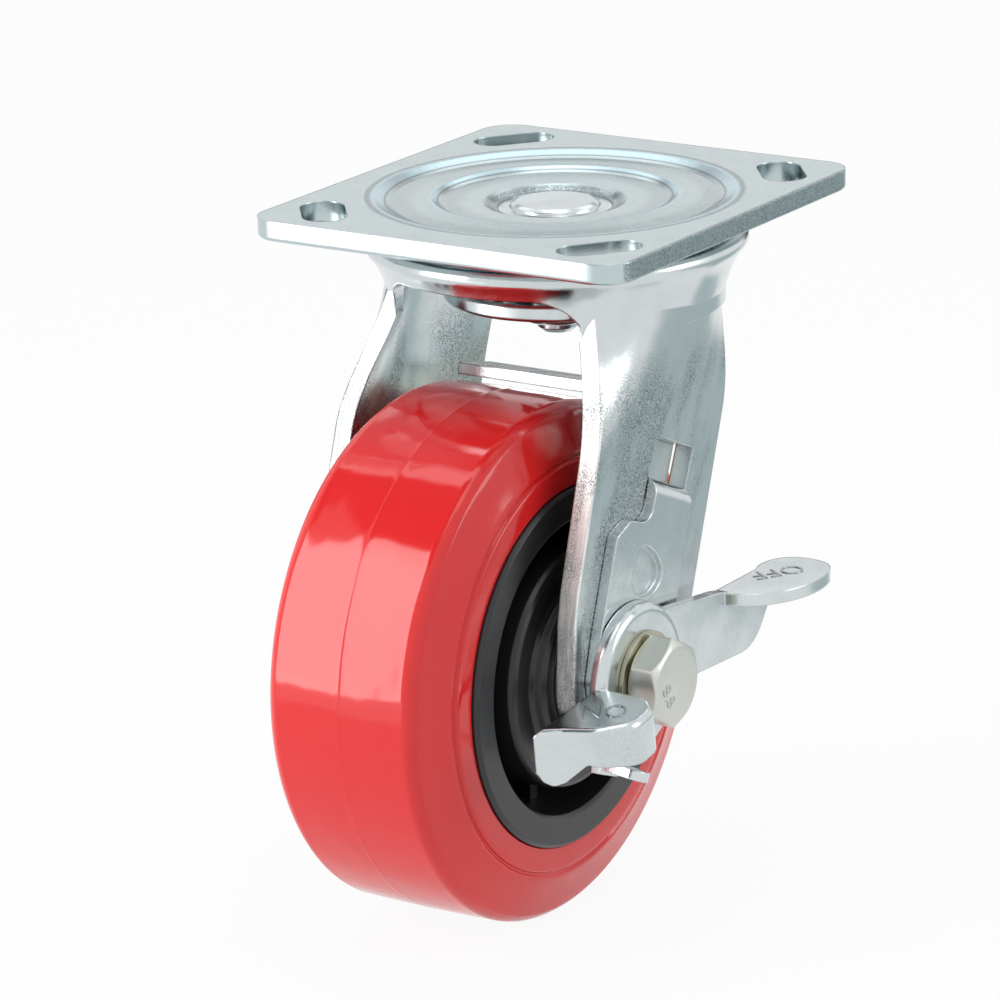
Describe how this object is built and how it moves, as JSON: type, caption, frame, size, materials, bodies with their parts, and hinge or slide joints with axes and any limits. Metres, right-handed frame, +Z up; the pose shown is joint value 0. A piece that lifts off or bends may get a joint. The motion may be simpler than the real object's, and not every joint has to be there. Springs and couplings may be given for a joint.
{
  "type": "swivel castor with side brake",
  "caption": "Plate-mounted swivel castor with a red polyurethane tyre on a black core, a pressed steel fork and a side pedal brake.",
  "frame": {"origin": "centre of the flat mounting face of the top plate, on the swivel axis", "axes": "+Z up through the mounting face; X is the rolling direction with the wheel trailing towards -X; the axle lies along Y, with the brake pedal and bolt head on the -Y side"},
  "size_m": [0.1519, 0.1102, 0.1665],
  "materials": {
    "zinc": "bright zinc plate",
    "yellow_zinc": "yellow passivated zinc plate",
    "hard_steel": "ground steel",
    "polyurethane": "glossy moulded polyurethane",
    "black_plastic": "moulded black plastic with a low sheen",
    "cage_plastic": "plain nylon",
    "nylon": "plain nylon"
  },
  "bodies": {
    "plate": {"top_plate": "zinc", "kingpin": "zinc", "retainer": "zinc", "kingpin_washer": "zinc", "kingpin_nut": "zinc"},
    "upper_ball_ring": {"upper_balls": "hard_steel"},
    "lower_ball_ring": {"lower_balls": "hard_steel"},
    "fork": {"fork": "zinc", "axle_bolt": "zinc", "head_washer": "yellow_zinc", "nut_washer": "yellow_zinc", "axle_nut": "zinc", "nut_insert": "nylon", "axle_bush": "hard_steel", "thrust_washers": "zinc"},
    "wheel": {"tread": "polyurethane", "core": "black_plastic", "bearing_cup": "hard_steel"},
    "roller_set": {"rollers": "hard_steel", "roller_cage": "cage_plastic"},
    "brake_strap": {"brake_shoe": "zinc"},
    "brake_pedal": {"brake_pedal": "zinc", "brake_cam": "hard_steel"}
  },
  "joints": [
    {"name": "swivel", "type": "hinge", "parent": "plate", "child": "fork", "pos_m": [0, 0, 0], "axis": [0, 0, 1], "continuous": true},
    {"name": "upper_balls_roll", "type": "hinge", "parent": "plate", "child": "upper_ball_ring", "pos_m": [0, 0, 0], "axis": [0, 0, 1], "continuous": true},
    {"name": "lower_balls_roll", "type": "hinge", "parent": "plate", "child": "lower_ball_ring", "pos_m": [0, 0, 0], "axis": [0, 0, 1], "continuous": true},
    {"name": "wheel_spin", "type": "hinge", "parent": "fork", "child": "wheel", "pos_m": [-0.0344, 0, -0.104], "axis": [0, 1, 0], "continuous": true},
    {"name": "rollers_roll", "type": "hinge", "parent": "fork", "child": "roller_set", "pos_m": [-0.0344, 0, -0.104], "axis": [0, 1, 0], "continuous": true},
    {"name": "pedal_swing", "type": "hinge", "parent": "fork", "child": "brake_pedal", "pos_m": [-0.0344, 0, -0.104], "axis": [0, -1, 0], "range_deg": [0, 25]},
    {"name": "shoe_press", "type": "slide", "parent": "fork", "child": "brake_strap", "axis": [-0.4067, 0, -0.9135], "range_m": [0, 0.00075]}
  ],
  "couplings": [
    {"joint": "upper_balls_roll", "follows": "swivel", "ratio": 0.5},
    {"joint": "lower_balls_roll", "follows": "swivel", "ratio": 0.5},
    {"joint": "rollers_roll", "follows": "wheel_spin", "ratio": 0.61224},
    {"joint": "shoe_press", "follows": "pedal_swing", "m_per_rad": 0.0017189}
  ]
}
